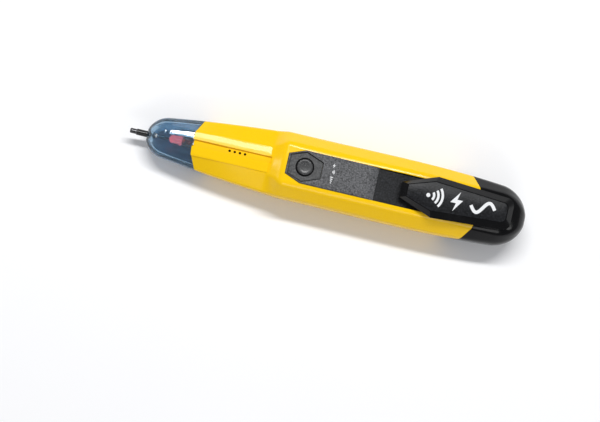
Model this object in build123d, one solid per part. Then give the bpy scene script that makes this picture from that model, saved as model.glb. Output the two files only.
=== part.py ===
from build123d import *
import math
import os
from dataclasses import dataclass
from functools import cache

# A pen-shaped non-contact voltage tester, lying on its back with the button face up.
# +X runs from the probe to the tail, +Y across the case, +Z out of the button face.
# The origin is under the middle of the whole length, on the surface that the back rests on.
# Millimetres throughout.

# ---------------------------------------------------------------- lengths along the case
probe_reach = 6.9  # probe outside the lens
lens_length = 17.7  # dome tip to the housing's front edge, along the button face
nose_length = 30.3  # from that edge to the foot of the ramp
ramp_length = 7.0
deck_length = 77.2  # straight button face, from the ramp to the tail cap
cap_length = 20.6

# ---------------------------------------------------------------- case
case_width = 27.0
case_height = 20.5  # back to button face
deck_face_width = 16.4  # flat of the button face, between the shoulders
nose_width = 19.7  # where the lens meets the housing
nose_height = 15.6
nose_face_width = 9.4
ramp_foot_width = 25.2
ramp_foot_height = 17.2
ramp_foot_face_width = 10.8
cap_joint_width = 25.6
tail_width = 23.2
dome_width = 14.6
dome_height = 12.6
nose_dome = 7.0  # how far each rounded end reaches along the case
tail_dome = 11.5
wall = 1.6
lens_wall = 2.4
fit_gap = 0.1  # between parts that slot together
joint_gap = 0.15  # line between the lens, the housing and the cap
lens_slope = 0.62  # how far the two case joints run along X per mm of height
cap_slope = 0.53
split_height = 8.6  # joint between the upper and the lower housing
spigot_length = 3.0

# ---------------------------------------------------------------- button face
panel_width = 13.0
panel_length = 36.0
panel_thickness = 1.3
panel_proud = 0.2  # button panel above the yellow face
panel_front_width = 8.0
panel_taper = 6.6
panel_lead = 0.2  # panel's front edge behind the ramp
panel_end_length = 3.2  # the panel's rear end curves down
panel_end_drop = 1.0
panel_edge = 0.3  # bevel along the panel's other edges
bezel_groove = 0.35  # dark line between the bezel and the panel
bezel_skirt = 0.35  # thickness of the bezel's edge under that line
rear_drop = 1.3  # rear panel below the yellow face
rear_panel_thickness = 1.2
bed_thickness = 1.1  # housing left under the rear panel
bed_margin = 1.2
button_diameter = 6.2
button_offset = 7.3  # button centre behind the ramp
button_rise = 0.9  # button above its bezel
button_gap = 0.4  # dark ring round the button
button_travel = 0.5
flange_rim = 0.9  # flange beyond the button, under the bezel
flange_thickness = 0.8
stem_diameter = 3.0
bezel_drop = 0.5  # bezel below the panel
groove_width = 2.7
groove_depth = 0.7
groove_overrun = 1.2  # how far the groove runs into the ramp
band_width = 3.7  # raised bands each side of the groove
band_height = 0.3
band_overrun = 0.6  # how far the bands run into the ramp
sound_hole_diameter = 1.0
sound_hole_pitch = 2.05
sound_hole_count = 4
sound_hole_offset = 18.0  # middle of the row behind the housing's front edge

# ---------------------------------------------------------------- pocket clip
clip_reach = 31.6  # clip's tip ahead of the cap's front edge
clip_tip_width = 6.2
clip_width = 16.4
clip_widest = 13.6  # from the tip to the widest place
clip_rear_width = 12.4
clip_rear_margin = 7.2  # clip's rear end ahead of the tail
clip_gap = 1.5  # under the clip, above the yellow face
clip_thickness = 2.6
clip_bevel = 2.2  # bevel along the sides, seen from above
clip_tip_bevel = 2.0
clip_face_tip_width = 5.0  # front edge of the clip's top face
clip_face_radius = 2.4
clip_rim = 0.3  # upright edge under the bevel
clip_field_rim = 0.3  # rim round the textured field in the top face
clip_field_depth = 0.15
clip_tip_gap = 0.25  # between the clip's tip and the rear panel
clip_tip_bump = 5.0  # length of the bump under the tip
clip_rear_radius = 3.0
clip_heel_length = 11.0
clip_heel_gap = 0.3
clip_foot_length = 4.0
clip_foot_width = 8.0
clip_hook = 0.8
clip_foot_depth = 2.9

# ---------------------------------------------------------------- probe, light and sensor in the lens
tip_diameter = 2.0
tip_length = 2.5
shank_diameter = 1.3
sleeve_diameter = 2.5
sleeve_inside = 3.4  # sleeve inside the lens
led_diameter = 3.0
led_length = 5.0
led_flange_diameter = 3.5
led_flange_thickness = 0.9
led_front = 8.9  # front of the light behind the dome's tip
led_above_probe = 3.0
lead_diameter = 0.5
lead_pitch = 2.54
coil_diameter = 4.2
coil_wire = 0.4
coil_turns = 7
mount_front = 18.8  # sensor mount behind the dome's tip
mount_thickness = 1.8

# ---------------------------------------------------------------- circuit board
board_height = 9.2  # underside of the board
board_thickness = 1.0
board_front = 21.0  # board behind the dome's tip
board_nose_width = 12.0
board_width = 19.0
board_margin = 0.3
switch_size = 6.0
switch_height = 3.4
plunger_diameter = 3.4
plunger_rise = 0.9
plunger_depth = 0.45
buzzer_diameter = 9.0
buzzer_height = 3.8
buzzer_seal = 0.4

# ---------------------------------------------------------------- cells and contacts
cell_diameter = 10.5  # AAA
cell_length = 44.5
cell_nub_diameter = 3.8
cell_nub_length = 0.8
cell_spacing = 0.2  # between the two cells
cell_clearance = 0.2
cap_clearance = 0.3  # between the cells and the cap that slides over their ends
spring_length = 4.0  # a contact spring with the cell in place
spring_diameter = 6.0
spring_wire = 0.6
spring_turns = 3.5
contact_thickness = 0.4
contact_width = 7.0
contact_height = 8.6
tab_width = 2.0
tab_reach = 2.2  # solder tab over the board
carrier_thickness = 1.6
bridge_inset = 4.6  # cap contact ahead of the cap's front edge
cradle_thickness = 1.2
cradle_height = 6.5
cradle_offsets = (7.0, 19.0, 31.0)  # behind the front contacts
post_diameter = 2.4
post_places = ((-12.5, 4.4), (-2.2, 8.0), (14.5, 8.0))  # X from the foot of the ramp, Y each side
tongue_thickness = 0.9
tongue_width = 12.0
tongue_length = 8.0
rail_width = 1.6
rail_height = 2.0
rail_length = 7.0

# ---------------------------------------------------------------- screws and label
screw_diameter = 2.0
screw_length = 10.0
screw_head_diameter = 3.6
screw_head_height = 1.5
screw_sink = 1.0  # head below the back
boss_diameter = 5.2
front_screw_offset = 2.2  # behind the foot of the ramp
rear_screw_offset = 4.8  # ahead of the contact carrier
rear_screw_spacing = 17.0
label_length = 46.0
label_width = 13.0
label_thickness = 0.2
label_recess = 0.35

# ---------------------------------------------------------------- places worked out from the sizes
case_length = lens_length + nose_length + ramp_length + deck_length + cap_length
dome_x = (probe_reach - case_length) / 2
lens_x = dome_x + lens_length
ramp_x = lens_x + nose_length
deck_x = ramp_x + ramp_length
cap_x = deck_x + deck_length
tail_x = cap_x + cap_length
probe_x = dome_x - probe_reach
button_x = deck_x + button_offset
flange_diameter = button_diameter + 2 * flange_rim
deck_z = case_height
panel_z = deck_z + panel_proud
panel_floor_z = panel_z - panel_thickness
rear_z = deck_z - rear_drop
rear_floor_z = rear_z - rear_panel_thickness
bed_z = rear_floor_z - bed_thickness
bezel_z = panel_z - bezel_drop
dome_base = 1.2
probe_z = (dome_height + dome_base) / 2
led_z = probe_z + led_above_probe
board_x = dome_x + board_front
board_top = board_height + board_thickness
plunger_z = board_top + switch_height + plunger_rise
buzzer_x = lens_x + sound_hole_offset
bridge_x = cap_x - bridge_inset  # front of the cap's contact plate
carrier_contact_x = bridge_x - spring_length - cell_length  # rear of the front contact plates
carrier_x = carrier_contact_x - contact_thickness - carrier_thickness
cell_y = (cell_diameter + cell_spacing) / 2
cell_z = wall + cell_clearance + cell_diameter / 2
clip_tip_x = cap_x - clip_reach
clip_rear_x = tail_x - clip_rear_margin
clip_base_z = deck_z + clip_gap
clip_top_z = clip_base_z + clip_thickness
clip_pivot_x = clip_rear_x - 3.4
far = 200.0  # beyond every part


# ================================================================ outer form
@dataclass(frozen=True)
class Section:
    """One cross-section of the case: half widths and heights of its corners."""

    half: float
    face: float
    top: float
    crown: float
    shoulder: float
    belly: float
    back: float
    base: float
    roundness: float

    def blend(self, other, share):
        """The section this share of the way to another one."""
        return Section(*(a + (b - a) * share for a, b in zip(self.values(), other.values())))

    def values(self):
        return [getattr(self, name) for name in self.__dataclass_fields__]

    def corners(self, inset):
        """The corners (y, z) of the section, moved inwards by inset."""
        right = [
            (self.face, self.top - self.crown),
            (self.half, self.shoulder),
            (self.half - 0.4, self.belly),
            (self.back, self.base),
        ]
        roof = (0, self.top + self.crown / 3)  # its rounding comes down to the top
        loop = [roof, *right, *[(-y, z) for y, z in reversed(right)]]
        return inset_loop(loop, inset)


dome_section = Section(dome_width / 2, 3.2, dome_height, 0.3, 9.2, 4.4, 3.8, dome_base, 0.4)
nose_section = Section(nose_width / 2, nose_face_width / 2, nose_height, 0.5, 10.6, 4.8, 6.4, 0.9, 0.14)
mid_nose_section = Section(11.35, 5.0, 16.4, 0.55, 11.4, 4.8, 7.8, 0.3, 0.13)
ramp_foot_section = Section(
    ramp_foot_width / 2, ramp_foot_face_width / 2, ramp_foot_height, 0.6, 12.0, 4.8, 8.8, -0.2, 0.13
)
deck_section = Section(
    case_width / 2 - 0.25, deck_face_width / 2, case_height, 0.5, case_height - 6.4, 4.8, 9.0, -0.2, 0.17
)
mid_section = Section(
    case_width / 2, deck_face_width / 2, case_height, 0.5, case_height - 6.4, 4.8, 9.2, -0.2, 0.17
)
cap_section = Section(
    cap_joint_width / 2, deck_face_width / 2 - 0.4, case_height, 0.5, case_height - 6.4, 4.8, 8.8, -0.2, 0.2
)
tail_section = Section(
    tail_width / 2, deck_face_width / 2 - 1.2, case_height - 0.3, 0.5, case_height - 6.8, 5.2, 8.0, 0.3, 0.4
)


def inset_loop(points, inset):
    """A closed loop of points, each side moved inwards by inset."""
    moved = []
    count = len(points)
    for i in range(count):
        here, before, after = (Vector(*points[k % count]) for k in (i, i - 1, i + 1))
        side_in = (here - before).normalized()
        side_out = (after - here).normalized()
        normal_in = Vector(side_in.Y, -side_in.X)
        normal_out = Vector(side_out.Y, -side_out.X)
        mitre = (normal_in + normal_out) / (1 + normal_in.dot(normal_out))
        moved.append(here + mitre * inset)
    return moved


def ring(x, section, inset=0.0, shrink=1.0, centre_z=0.0):
    """The section's outline at x as a wire with rounded corners, shrunk towards (0, centre_z)."""
    corners = [
        Vector(x, p.X * shrink, centre_z + (p.Y - centre_z) * shrink) for p in section.corners(inset)
    ]
    count = len(corners)
    arcs = []
    for i in range(count):
        corner, before, after = (corners[k % count] for k in (i, i - 1, i + 1))
        setback = section.roundness * min((before - corner).length, (after - corner).length)
        if i == 0:  # the crown is one long arc over most of the face
            setback = 0.5 * (after - corner).length
        to_before, to_after = (before - corner).normalized(), (after - corner).normalized()
        half_angle = math.radians(to_before.get_angle(to_after)) / 2
        bisector = (to_before + to_after).normalized()
        middle = corner + bisector * (setback / math.cos(half_angle) - setback * math.tan(half_angle))
        arcs.append((corner + to_before * setback, middle, corner + to_after * setback))
    edges = []
    for i, (start, middle, end) in enumerate(arcs):
        edges.append(Edge.make_three_point_arc(start, middle, end))
        edges.append(Edge.make_line(end, arcs[(i + 1) % count][0]))
    return Wire(edges)


def dome_rings(end_x, length, direction, first, last, inset, centre_z):
    """Rings that close one end of the case in an elliptical dome, from the end inwards."""
    cut = 0.05  # the ellipse's very end is left off, so that the dome ends in a small flat
    rings = []
    for share in (0, 0.07, 0.18, 0.34, 0.55, 0.78, 1.0):
        x = end_x + direction * (inset + (length - inset) * share)
        along = cut + (1 - cut) * share
        shrink = math.sqrt(1 - (1 - along) ** 2)
        rings.append(ring(x, first.blend(last, (x - end_x) * direction / length), inset, shrink, centre_z))
    return rings


@cache
def form(inset):
    """The whole case's outer form, moved inwards by inset, as one solid."""
    neck_x = lens_x + (nose_height - probe_z) * lens_slope / 2
    nose_start = dome_section.blend(nose_section, nose_dome / (neck_x - dome_x))
    tail_start = cap_section.blend(tail_section, 1 - tail_dome / cap_length)
    nose_rings = dome_rings(dome_x, nose_dome, 1, dome_section, nose_start, inset, probe_z)
    tail_rings = dome_rings(tail_x, tail_dome, -1, tail_section, tail_start, inset, case_height / 2)
    ramp_rings = []
    for i in range(7):
        share = i / 6
        rise = share * share * (3 - 2 * share)
        x = ramp_x + (deck_x - ramp_x) * share
        ramp_rings.append(ring(x, ramp_foot_section.blend(deck_section, rise), inset))
    nose = Solid.make_loft(
        [
            nose_rings[-1],
            ring(neck_x, nose_section, inset),
            ring((neck_x + ramp_x) / 2, mid_nose_section, inset),
            ramp_rings[0],
        ]
    )
    deck = Solid.make_loft(
        [
            ramp_rings[-1],
            ring((deck_x + cap_x) / 2, mid_section, inset),
            ring(cap_x, cap_section, inset),
            tail_rings[-1],
        ]
    )
    ramp = Solid.make_loft(ramp_rings)
    whole = Solid.make_loft(nose_rings) + nose + ramp + deck + Solid.make_loft(tail_rings)
    return whole & block((-far, far), (-far, far), (inset, far))  # a flat back


# ================================================================ helpers
def block(x, y, z):
    """A box between the pairs of limits x, y and z."""
    return Pos(x[0], y[0], z[0]) * Box(
        x[1] - x[0], y[1] - y[0], z[1] - z[0], align=(Align.MIN, Align.MIN, Align.MIN)
    )


def rod(radius, start, end):
    """A cylinder between two points on a line parallel to an axis."""
    along = Vector(*end) - Vector(*start)
    return Solid.make_cylinder(radius, along.length, Plane(Vector(*start), z_dir=along))


def prism(points, y):
    """A prism across Y, from its outline (x, z) and the pair of limits y."""
    wire = Wire.make_polygon([Vector(px, y[0], pz) for px, pz in points], close=True)
    return extrude(Face(wire), amount=y[1] - y[0], dir=(0, 1, 0))


def plate(points, z):
    """An upright prism, from its outline (x, y) and the pair of limits z."""
    wire = Wire.make_polygon([Vector(px, py, z[0]) for px, py in points], close=True)
    return extrude(Face(wire), amount=z[1] - z[0], dir=(0, 0, 1))


def lens_joint(z):
    """X of the slanted joint between the lens and the housing at a height."""
    return lens_x + (nose_height - z) * lens_slope


def cap_joint(z):
    """X of the slanted joint between the housing and the tail cap at a height."""
    return cap_x - (deck_z - z) * cap_slope


def between(front, rear, front_shift=0.0, rear_shift=0.0):
    """All space between two joints, each a function of z; None is without limit."""
    low, high = -5.0, case_height + 10
    front_x = [front(z) + front_shift if front else -far for z in (low, high)]
    rear_x = [rear(z) + rear_shift if rear else far for z in (low, high)]
    outline = [(front_x[0], low), (rear_x[0], low), (rear_x[1], high), (front_x[1], high)]
    return prism(outline, (-far, far))


def spring(centre, length, diameter, wire_diameter, turns):
    """A round-wire coil along +X from centre, its wire inside length and diameter."""
    pitch = (length - wire_diameter) / turns
    radius = (diameter - wire_diameter) / 2
    path = Helix(pitch, length - wire_diameter, radius)
    coil = sweep(Plane(path @ 0, z_dir=path % 0) * Circle(wire_diameter / 2), path=path)
    start = Vector(*centre) + Vector(wire_diameter / 2, 0, 0)
    return Pos(*start) * Rot(0, 90, 0) * coil


def screw_places():
    """X and Y of the case's screws."""
    rear_x = carrier_x - rear_screw_offset
    return [
        (ramp_x + front_screw_offset, 0.0),
        (rear_x, -rear_screw_spacing / 2),
        (rear_x, rear_screw_spacing / 2),
    ]


# ================================================================ lens, probe and sensor
def tip_lens():
    """Clear dome with a spigot that plugs into the housing and a bore for the probe's sleeve."""
    dome = form(0) & between(None, lens_joint)
    spigot = form(wall + fit_gap) & between(lens_joint, lens_joint, -0.5, spigot_length)
    bore = rod(sleeve_diameter / 2 + fit_gap / 2, (probe_x, 0, probe_z), (dome_x + 6, 0, probe_z))
    return dome + spigot - form(lens_wall) - bore


def probe_pin():
    """Steel pin: a bare tip with a rounded point, and a thinner shank through the lens."""
    tip = rod(tip_diameter / 2, (probe_x, 0, probe_z), (probe_x + tip_length, 0, probe_z))
    tip = fillet(tip.edges().group_by(Axis.X)[0], 0.5)
    shank_end = board_x + 0.9
    return tip + rod(shank_diameter / 2, (probe_x + tip_length, 0, probe_z), (shank_end, 0, probe_z))


def probe_sleeve():
    """Insulating sleeve on the pin, half outside the lens."""
    start = (probe_x + tip_length, 0, probe_z)
    end = (dome_x + sleeve_inside, 0, probe_z)
    tube = rod(sleeve_diameter / 2, start, end)
    tube = chamfer(tube.edges().group_by(Axis.X)[0], 0.25)
    return tube - rod(shank_diameter / 2 + 0.02, start, end)


def indicator_led():
    """Round red LED lying along the case, its dome towards the tip, with two leads to the board."""
    front, back = dome_x + led_front, dome_x + led_front + led_length
    body = rod(led_diameter / 2, (front, 0, led_z), (back, 0, led_z))
    body = fillet(body.edges().group_by(Axis.X)[0], led_diameter / 2 - 0.05)
    return body + rod(led_flange_diameter / 2, (back - led_flange_thickness, 0, led_z), (back, 0, led_z))


def led_leads():
    """The LED's two wires, from its back to the board's front edge."""
    start, end = dome_x + led_front + led_length, board_x
    return [
        rod(lead_diameter / 2, (start, side * lead_pitch / 2, led_z), (end, side * lead_pitch / 2, led_z))
        for side in (-1, 1)
    ]


def antenna_coil():
    """Sensing coil between the LED and the sensor mount, round the LED's leads."""
    start = dome_x + led_front + led_length + 0.15
    return spring(
        (start, 0, led_z), dome_x + mount_front - start - 0.05, coil_diameter, coil_wire, coil_turns
    )


def sensor_mount():
    """Bulkhead inside the lens that holds the pin, the coil and the LED's leads."""
    front = dome_x + mount_front
    disc = form(lens_wall + fit_gap) & block((front, front + mount_thickness), (-far, far), (-far, far))
    holes = [rod(shank_diameter / 2 + 0.02, (front - 1, 0, probe_z), (front + 5, 0, probe_z))]
    for side in (-1, 1):
        y = side * lead_pitch / 2
        holes.append(rod(lead_diameter / 2 + fit_gap, (front - 1, y, led_z), (front + 5, y, led_z)))
    return disc - holes


def probe_contact():
    """Brass clip that joins the pin's end to the underside of the board."""
    front = board_x + 0.1
    strap = block((front, front + 0.5), (-1.6, 1.6), (probe_z - 1.4, board_height))
    foot = block((front, front + 3), (-1.6, 1.6), (board_height - contact_thickness, board_height))
    return strap + foot - rod(shank_diameter / 2 + 0.02, (front - 1, 0, probe_z), (front + 1, 0, probe_z))


# ================================================================ circuit board
def circuit_board():
    """Board from the sensor mount to the contact carrier, stepped in width, clear of the screw bosses."""
    step_x, rear_x = ramp_x - 4, carrier_x - board_margin
    nose = block(
        (board_x, step_x), (-board_nose_width / 2, board_nose_width / 2), (board_height, board_top)
    )
    body = block((step_x, rear_x), (-board_width / 2, board_width / 2), (board_height, board_top))
    holes = [
        rod(boss_diameter / 2 + board_margin, (x, y, board_height - 1), (x, y, board_top + 1))
        for x, y in screw_places()
    ]
    return nose + body - holes


def board_components():
    """Amplifier, controller and small parts soldered to the top of the board."""
    chips = [
        (board_x + 2.6, 0.0, 3.9, 4.9, 1.5),
        (ramp_x - 3.0, 3.6, 2.0, 1.2, 0.6),
        (ramp_x - 3.0, -3.6, 2.0, 1.2, 0.6),
        (ramp_x + 1.6, 7.0, 3.2, 1.6, 1.1),
        (ramp_x + 1.6, -7.0, 3.2, 1.6, 1.1),
        (deck_x + 2.2, 6.6, 2.0, 1.2, 0.6),
        (deck_x + 2.2, -6.6, 2.0, 1.2, 0.6),
    ]
    parts = []
    for x, y, length, width, height in chips:
        part = Pos(x + length / 2, y, board_top) * Box(
            length, width, height, align=(Align.CENTER, Align.CENTER, Align.MIN)
        )
        parts.append(chamfer(part.edges().group_by(Axis.Z)[-1], 0.12))
    return parts


def tact_switch():
    """Body of the tactile switch under the button."""
    half = switch_size / 2
    body = block((button_x - half, button_x + half), (-half, half), (board_top, board_top + switch_height))
    body = fillet(body.edges().filter_by(Axis.Z), 0.5)
    top = board_top + switch_height
    pocket_depth = plunger_depth + button_travel + 0.1
    return body - rod(plunger_diameter / 2 + fit_gap, (button_x, 0, top - pocket_depth), (button_x, 0, top))


def switch_plunger():
    """The switch's moving plunger, level with the button's stem."""
    start = board_top + switch_height - plunger_depth
    plunger = rod(plunger_diameter / 2, (button_x, 0, start), (button_x, 0, plunger_z))
    return chamfer(plunger.edges().group_by(Axis.Z)[-1], 0.2)


def piezo_buzzer():
    """Round sounder on the board under the sound holes, with a port in its top."""
    can = rod(buzzer_diameter / 2, (buzzer_x, 0, board_top), (buzzer_x, 0, board_top + buzzer_height))
    can = fillet(can.edges().group_by(Axis.Z)[-1], 0.4)
    top = board_top + buzzer_height
    return can - rod(1.0, (buzzer_x, 0, top - 1), (buzzer_x, 0, top))


def buzzer_gasket():
    """Foam ring that seals the sounder's port to the housing."""
    low = board_top + buzzer_height
    outer = rod(buzzer_diameter / 2 - 1.6, (buzzer_x, 0, low), (buzzer_x, 0, low + buzzer_seal))
    return outer - rod(buzzer_diameter / 2 - 2.7, (buzzer_x, 0, low), (buzzer_x, 0, low + buzzer_seal))


# ================================================================ button face
def panel_outline(grow=0.0):
    """Outline (x, y) of the button panel, grown by grow."""
    front, rear = deck_x + panel_lead - grow, deck_x + panel_length + grow
    half, front_half = panel_width / 2 + grow, panel_front_width / 2 + grow
    shoulder = deck_x + panel_taper
    return [
        (front, -front_half),
        (shoulder, -half),
        (rear, -half),
        (rear, half),
        (shoulder, half),
        (front, front_half),
    ]


def hexagon(grow=0.0):
    """Outline (x, y) of the bezel round the button, stretched along the case."""
    loop = [(-6.1, 3.6), (-0.3, 5.7), (6.6, 3.1), (6.6, -3.1), (-0.3, -5.7), (-6.1, -3.6)]
    return [(button_x + p.X, p.Y) for p in inset_loop(loop, -grow)]


def button_panel():
    """Black panel let into the button face, with a hexagonal opening and a rounded rear edge."""
    panel = plate(panel_outline(), (panel_floor_z, panel_z))
    top = panel.faces().sort_by(Axis.Z)[-1]
    side_edges = [edge for edge in top.edges() if edge.center().X < deck_x + panel_length - 2]
    panel = chamfer(side_edges, panel_edge)
    end_x = deck_x + panel_length - panel_end_length
    radius = (panel_end_length**2 + panel_end_drop**2) / (2 * panel_end_drop)
    curve = rod(radius, (end_x, -panel_width, panel_z - radius), (end_x, panel_width, panel_z - radius))
    beyond = block((end_x, cap_x), (-panel_width, panel_width), (panel_floor_z - 1, panel_z + 1))
    panel -= beyond - curve
    return panel - plate(hexagon(bezel_groove), (panel_floor_z - 1, panel_z + 1))


def button_bezel():
    """Hexagonal plate round the button, lower than the panel."""
    bezel = plate(hexagon(), (panel_floor_z, bezel_z))
    bezel = chamfer(bezel.faces().sort_by(Axis.Z)[-1].edges(), 0.12)
    bezel += plate(hexagon(bezel_groove - fit_gap / 2), (panel_floor_z, panel_floor_z + bezel_skirt))
    low, high = panel_floor_z - 1, bezel_z + 1
    return bezel - rod(button_diameter / 2 + button_gap, (button_x, 0, low), (button_x, 0, high))


def power_button():
    """Round push button with a shallow dish, a flange under the bezel and a stem on the switch."""
    flange_top = panel_floor_z - fit_gap
    top = bezel_z + button_rise
    cap = rod(button_diameter / 2, (button_x, 0, flange_top - 0.1), (button_x, 0, top))
    cap = fillet(cap.edges().group_by(Axis.Z)[-1], 0.5)
    dish_radius, dish_depth = 2.2, 0.18
    sphere_radius = (dish_radius**2 + dish_depth**2) / (2 * dish_depth)
    cap -= Pos(button_x, 0, top - dish_depth + sphere_radius) * Sphere(sphere_radius)
    flange_low = flange_top - flange_thickness
    flange = rod(flange_diameter / 2, (button_x, 0, flange_low), (button_x, 0, flange_top))
    stem = rod(stem_diameter / 2, (button_x, 0, plunger_z), (button_x, 0, flange_low))
    return cap + flange + stem


def rear_panel_limits(grow=0.0):
    """The pair of X limits of the lower panel behind the button panel."""
    return deck_x + panel_length + fit_gap / 2 - grow, cap_joint(rear_floor_z) - 2 * joint_gap + grow


def rear_panel():
    """Lower black panel that the clip's tip lies over."""
    half = panel_width / 2
    panel = block(rear_panel_limits(), (-half, half), (rear_floor_z, rear_z))
    return chamfer(panel.faces().sort_by(Axis.Z)[-1].edges().filter_by(Axis.X), 0.2)


# ================================================================ housings
def upper_housing():
    """Yellow upper shell: ribbed nose with sound holes, beds for the two panels, and screw bosses."""
    shell = (form(0) - form(wall)) & between(lens_joint, cap_joint, joint_gap, -joint_gap)
    shell &= block((-far, far), (-far, far), (split_height, far))
    bed_half = panel_width / 2 + bed_margin
    bed = block((deck_x - 1, cap_x), (-bed_half, bed_half), (bed_z, deck_z))
    bosses = [rod(boss_diameter / 2, (x, y, split_height), (x, y, deck_z)) for x, y in screw_places()]
    for offset in cradle_offsets:
        x = carrier_contact_x + offset
        rib = block((x, x + cradle_thickness), (-bed_half, bed_half), (cell_z + 2, bed_z + 0.5))
        for side in (-1, 1):
            start, end = (x - 1, side * cell_y, cell_z), (x + cradle_thickness + 1, side * cell_y, cell_z)
            rib -= rod(cell_diameter / 2 + cell_clearance, start, end)
        bosses += [piece for piece in rib.solids() if piece.bounding_box().max.Z > bed_z]
    inside = form(0.5) & between(lens_joint, cap_joint, joint_gap, -joint_gap)
    shell = shell + ((bed + bosses) & inside) + nose_bands()
    shell -= plate(panel_outline(fit_gap), (panel_floor_z, deck_z + 5))
    half = panel_width / 2 + fit_gap
    rear_start = deck_x + panel_length
    shell -= block((rear_start, cap_x + 5), (-half, half), (rear_floor_z, deck_z + 5))
    flange_hole = flange_diameter / 2 + button_gap
    shell -= rod(flange_hole, (button_x, 0, split_height), (button_x, 0, deck_z))
    shell -= sound_groove()
    for i in range(sound_hole_count):
        x = buzzer_x + (i - (sound_hole_count - 1) / 2) * sound_hole_pitch
        shell -= rod(sound_hole_diameter / 2, (x, 0, split_height + 2), (x, 0, deck_z))
    for x, y in screw_places():
        shell -= rod(screw_diameter / 2 + 0.02, (x, y, 0), (x, y, screw_tip_z() + 0.5))
    return shell


def nose_bands():
    """Two raised bands each side of the groove, from the lens to the ramp."""
    bands = []
    for side in (-1, 1):
        near, far_side = sorted((side * groove_width / 2, side * (groove_width / 2 + band_width)))
        band = block((lens_x - 5, ramp_x + band_overrun), (near, far_side), (nose_height - 4, deck_z))
        bands.append(band & form(-band_height) & between(lens_joint, None, joint_gap))
    return bands[0] + bands[1] - form(wall)


def screw_tip_z():
    return screw_sink + screw_head_height + screw_length


def sound_groove():
    """Channel along the top of the nose, its floor a fixed depth below the crown."""
    rise = (ramp_foot_height - nose_height) / (ramp_x - lens_x - 3.2)

    def floor(x):
        return nose_height + (x - lens_x - 3.2) * rise - groove_depth

    start, end = lens_x - 4, ramp_x + groove_overrun
    outline = [(start, floor(start)), (end, floor(end)), (end, deck_z + 5), (start, deck_z + 5)]
    return prism(outline, (-groove_width / 2, groove_width / 2))


def lower_housing():
    """Yellow lower shell: floor with cradles for the cells, sunk screw holes and a label recess."""
    shell = (form(0) - form(wall)) & between(lens_joint, cap_joint, joint_gap, -joint_gap)
    shell &= block((-far, far), (-far, far), (-far, split_height - joint_gap / 2))
    joint_z = split_height - joint_gap / 2
    supports = [rod(boss_diameter / 2, (x, y, 0.5), (x, y, joint_z)) for x, y in screw_places()]
    for offset, y in post_places:
        for side in (-y, y):
            x = ramp_x + offset
            supports.append(rod(post_diameter / 2, (x, side, 0.5), (x, side, board_height)))
    for offset in cradle_offsets:
        x = carrier_contact_x + offset
        cradle = block((x, x + cradle_thickness), (-far, far), (0.5, cradle_height))
        for side in (-1, 1):
            start, end = (x - 1, side * cell_y, cell_z), (x + cradle_thickness + 1, side * cell_y, cell_z)
            cradle -= rod(cell_diameter / 2 + cell_clearance, start, end)
        supports += cradle.solids()
    shell = shell + [support & form(0.5) for support in supports]
    for x, y in screw_places():
        shell -= rod(screw_head_diameter / 2 + 0.2, (x, y, -1), (x, y, screw_sink + screw_head_height))
        shell -= rod(screw_diameter / 2 + fit_gap, (x, y, -1), (x, y, split_height))
    return shell - label_area(0.2, -1, label_recess)


def label_area(grow, low, high):
    """Rounded rectangle on the back for the label."""
    centre = (carrier_x + bridge_x) / 2 - 6
    outline = Pos(centre, 0, low) * RectangleRounded(label_length + 2 * grow, label_width + 2 * grow, 1.5)
    return extrude(outline, amount=high - low, dir=(0, 0, 1))


def back_label():
    """Thin rating label in the recess on the back."""
    return label_area(0, label_recess - label_thickness, label_recess)


def case_screws():
    """Three pan-head screws with crossed slots, from the back into the upper housing."""
    screws = []
    for x, y in screw_places():
        seat = screw_sink + screw_head_height
        head = rod(screw_head_diameter / 2, (x, y, screw_sink), (x, y, seat))
        head = fillet(head.edges().group_by(Axis.Z)[0], 0.5)
        for length, width in ((2.0, 0.5), (0.5, 2.0)):
            head -= block(
                (x - length / 2, x + length / 2), (y - width / 2, y + width / 2), (0, screw_sink + 0.8)
            )
        shank = rod(screw_diameter / 2, (x, y, seat), (x, y, screw_tip_z()))
        screws.append(head + chamfer(shank.edges().group_by(Axis.Z)[-1], 0.5))
    return screws


# ================================================================ cells and contacts
def cell(side, nub_forward):
    """One AAA cell along the case, its nub towards the tip or the tail."""
    y = side * cell_y
    start = carrier_contact_x if nub_forward else carrier_contact_x + spring_length
    end = start + cell_length
    can_start = start + cell_nub_length if nub_forward else start
    can_end = end if nub_forward else end - cell_nub_length
    can = rod(cell_diameter / 2, (can_start, y, cell_z), (can_end, y, cell_z))
    can = fillet(can.edges().filter_by(GeomType.CIRCLE), 0.4)
    return can + rod(cell_nub_diameter / 2, (start + 0.4, y, cell_z), (end - 0.4, y, cell_z)) + rod(
        cell_nub_diameter / 2,
        (start if nub_forward else end - 1, y, cell_z),
        (start + 1 if nub_forward else end, y, cell_z),
    )


def contact_carrier():
    """Upright wall between the board and the cells that holds the two front contacts."""
    slab = block((carrier_x, carrier_x + carrier_thickness), (-far, far), (-far, bed_z - fit_gap))
    slab &= form(wall + joint_gap)
    slots = []
    for side in (-1, 1):
        y = side * cell_y
        slots.append(
            block(
                (carrier_x - 1, carrier_x + 5),
                (y - tab_width / 2 - fit_gap, y + tab_width / 2 + fit_gap),
                (board_top - fit_gap, board_top + contact_thickness + fit_gap),
            )
        )
    return slab - slots


def front_contact(side):
    """Spring-steel plate on the carrier with a solder tab over the board."""
    y = side * cell_y
    rear = carrier_contact_x
    face = block(
        (rear - contact_thickness, rear),
        (y - contact_width / 2, y + contact_width / 2),
        (cell_z - contact_height / 2, cell_z + contact_height / 2),
    )
    tab = block(
        (carrier_x - tab_reach, rear),
        (y - tab_width / 2, y + tab_width / 2),
        (board_top, board_top + contact_thickness),
    )
    return face + tab


def front_spring():
    """Coil that presses on the flat end of the cell whose nub faces the tail."""
    return spring(
        (carrier_contact_x, cell_y, cell_z), spring_length, spring_diameter, spring_wire, spring_turns
    )


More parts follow.
